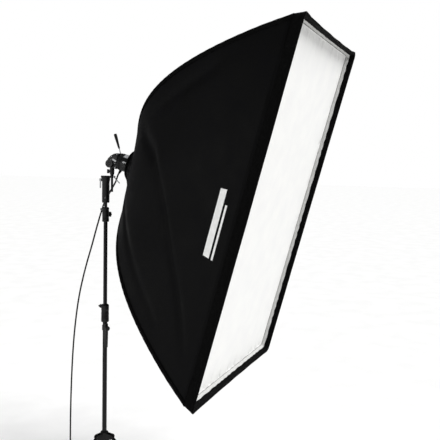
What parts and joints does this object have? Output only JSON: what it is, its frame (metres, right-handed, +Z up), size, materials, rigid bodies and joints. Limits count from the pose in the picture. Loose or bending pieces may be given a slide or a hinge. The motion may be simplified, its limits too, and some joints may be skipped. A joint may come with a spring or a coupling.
{
  "type": "studio softbox",
  "caption": "Rectangular softbox with bowed corner rods and a recessed white diffuser, on a tilting flash head and a folding three-section light stand.",
  "frame": {"origin": "on the floor, under the middle of the object without its free lamp cable", "axes": "+Z up; the lit face looks towards -Y and 15 degrees down; X runs across the width"},
  "size_m": [1.2, 1.6597, 2.6843],
  "materials": {
    "black_tube": "satin",
    "black_casting": "satin",
    "satin_steel": "satin",
    "black_rubber": "matte",
    "black_plastic": "matte",
    "softbox_fabric": "matte",
    "diffusion_fabric": "matte",
    "frosted_glass": "satin",
    "white_ceramic": "satin",
    "spring_steel": "satin"
  },
  "bodies": {
    "stand_base": {"base_tube": "black_tube", "base_plug": "black_plastic", "leg_casting": "black_casting", "base_collar": "black_casting", "cable_cleat": "black_plastic", "lamp_cable": "black_rubber", "cable_coil": "black_rubber", "cable_plug": "black_plastic"},
    "base_knob": {"base_collar_knob": "black_plastic"},
    "cleat_clamp": {"cleat_knob": "black_plastic"},
    "leg_a": {"leg_1": "black_tube", "foot_1": "black_rubber"},
    "leg_b": {"leg_2": "black_tube", "foot_2": "black_rubber"},
    "leg_c": {"leg_3": "black_tube", "foot_3": "black_rubber"},
    "spreader": {"spreader_collar": "black_casting"},
    "brace_a": {"brace_1": "black_tube"},
    "brace_b": {"brace_2": "black_tube"},
    "brace_c": {"brace_3": "black_tube"},
    "lower_riser": {"lower_riser_tube": "black_tube", "riser_collar": "black_casting", "cable_clip": "black_plastic"},
    "riser_knob": {"riser_collar_knob": "black_plastic"},
    "upper_riser": {"upper_riser_tube": "black_tube", "column_head": "black_casting", "spigot": "satin_steel", "head_cable": "black_rubber"},
    "spigot_lock": {"spigot_lever": "satin_steel"},
    "socket_lock": {"socket_lever": "satin_steel"},
    "receiver": {"stand_receiver": "satin_steel", "tilt_axle": "satin_steel"},
    "receiver_wing": {"receiver_wing_knob": "black_plastic"},
    "flash_head": {"tilt_bracket": "black_casting", "head_housing": "black_casting", "rear_cover": "black_plastic", "lock_ring": "satin_steel", "speedring_insert": "black_casting", "lamp_socket": "white_ceramic", "modelling_lamp": "frosted_glass", "flash_tube": "frosted_glass", "glass_dome": "frosted_glass", "cable_gland": "black_rubber"},
    "tilt_clamp": {"tilt_knob": "black_plastic"},
    "tilt_handle": {"tilt_lever": "satin_steel", "lever_grip": "black_rubber"},
    "softbox": {"speedring": "black_casting", "rod_upper_left": "spring_steel", "rod_upper_right": "spring_steel", "rod_lower_left": "spring_steel", "rod_lower_right": "spring_steel", "panel_left": "softbox_fabric", "panel_right": "softbox_fabric", "panel_top": "softbox_fabric", "panel_bottom": "softbox_fabric", "front_lip": "softbox_fabric", "front_diffuser": "diffusion_fabric", "inner_baffle": "diffusion_fabric"},
    "ring_knob": {"ring_lock_knob": "black_plastic"}
  },
  "joints": [
    {"name": "leg_fold", "type": "hinge", "parent": "stand_base", "child": "leg_a", "pos_m": [0, 0.42487, 0.52], "axis": [1, 0, 0], "range_deg": [0, 43.39]},
    {"name": "leg_fold_b", "type": "hinge", "parent": "stand_base", "child": "leg_b", "pos_m": [0.03897, 0.49237, 0.52], "axis": [-0.5, 0.866, 0], "range_deg": [0, 43.4]},
    {"name": "leg_fold_c", "type": "hinge", "parent": "stand_base", "child": "leg_c", "pos_m": [-0.03897, 0.49237, 0.52], "axis": [-0.5, -0.866, 0], "range_deg": [0, 43.4]},
    {"name": "spreader_travel", "type": "slide", "parent": "stand_base", "child": "spreader", "axis": [0, 0, 1], "range_m": [-0.125, 0]},
    {"name": "brace_fold_a", "type": "hinge", "parent": "spreader", "child": "brace_a", "pos_m": [0, 0.42487, 0.22505], "axis": [1, 0, 0], "range_deg": [-43.4, 0]},
    {"name": "brace_fold_b", "type": "hinge", "parent": "spreader", "child": "brace_b", "pos_m": [0.03897, 0.49237, 0.22505], "axis": [-0.5, 0.866, 0], "range_deg": [-43.4, 0]},
    {"name": "brace_fold_c", "type": "hinge", "parent": "spreader", "child": "brace_c", "pos_m": [-0.03897, 0.49237, 0.22505], "axis": [-0.5, -0.866, 0], "range_deg": [-43.4, 0]},
    {"name": "base_knob_turn", "type": "hinge", "parent": "stand_base", "child": "base_knob", "pos_m": [0, 0.49137, 1.258], "axis": [0, 1, 0], "range_deg": [-270, 0]},
    {"name": "cleat_knob_turn", "type": "hinge", "parent": "stand_base", "child": "cleat_clamp", "pos_m": [-0.01703, 0.44727, 1.139], "axis": [-0.6018, -0.7986, 0], "range_deg": [-270, 0]},
    {"name": "lower_riser_slide", "type": "slide", "parent": "stand_base", "child": "lower_riser", "axis": [0, 0, 1], "range_m": [-0.455, 0.45], "deforming": ["lamp_cable"]},
    {"name": "riser_knob_turn", "type": "hinge", "parent": "lower_riser", "child": "riser_knob", "pos_m": [0, 0.46987, 1.77], "axis": [0.9397, -0.342, 0], "range_deg": [-270, 0]},
    {"name": "upper_riser_slide", "type": "slide", "parent": "lower_riser", "child": "upper_riser", "axis": [0, 0, 1], "range_m": [-0.012, 0.65], "deforming": ["head_cable"]},
    {"name": "socket_lock_turn", "type": "hinge", "parent": "upper_riser", "child": "socket_lock", "pos_m": [0, 0.49867, 1.9595], "axis": [0, 1, 0], "range_deg": [-90, 0]},
    {"name": "spigot_lock_turn", "type": "hinge", "parent": "upper_riser", "child": "spigot_lock", "pos_m": [0, 0.42237, 1.977], "axis": [0, -1, 0], "range_deg": [-90, 0]},
    {"name": "pan", "type": "hinge", "parent": "upper_riser", "child": "receiver", "pos_m": [0, 0.43187, 2.05], "axis": [0, 0, 1], "range_deg": [-120, 120]},
    {"name": "receiver_wing_turn", "type": "hinge", "parent": "receiver", "child": "receiver_wing", "pos_m": [0, 0.44817, 2.007], "axis": [0, 1, 0], "range_deg": [-180, 0]},
    {"name": "tilt", "type": "hinge", "parent": "receiver", "child": "flash_head", "pos_m": [0, 0.43187, 2.05], "axis": [1, 0, 0], "range_deg": [-60, 15]},
    {"name": "tilt_knob_turn", "type": "hinge", "parent": "flash_head", "child": "tilt_clamp", "pos_m": [0, 0.43187, 2.05], "axis": [-1, 0, 0], "range_deg": [-180, 0]},
    {"name": "tilt_handle_turn", "type": "hinge", "parent": "flash_head", "child": "tilt_handle", "pos_m": [0, 0.43187, 2.05], "axis": [1, 0, 0], "range_deg": [-50, 0]},
    {"name": "softbox_spin", "type": "hinge", "parent": "flash_head", "child": "softbox", "pos_m": [0, 0.29864, 2.03915], "axis": [0, -0.9659, -0.2588], "range_deg": [-90, 90]},
    {"name": "ring_knob_turn", "type": "hinge", "parent": "softbox", "child": "ring_knob", "pos_m": [-0.069, 0.31274, 2.04293], "axis": [0, 0.9659, 0.2588], "range_deg": [-180, 0]}
  ],
  "couplings": [
    {"joint": "leg_fold_b", "follows": "leg_fold", "ratio": 1},
    {"joint": "leg_fold_c", "follows": "leg_fold", "ratio": 1},
    {"joint": "spreader_travel", "follows": "leg_fold", "m_per_rad": -0.16479},
    {"joint": "brace_fold_a", "follows": "leg_fold", "ratio": -1},
    {"joint": "brace_fold_b", "follows": "leg_fold", "ratio": -1},
    {"joint": "brace_fold_c", "follows": "leg_fold", "ratio": -1}
  ]
}
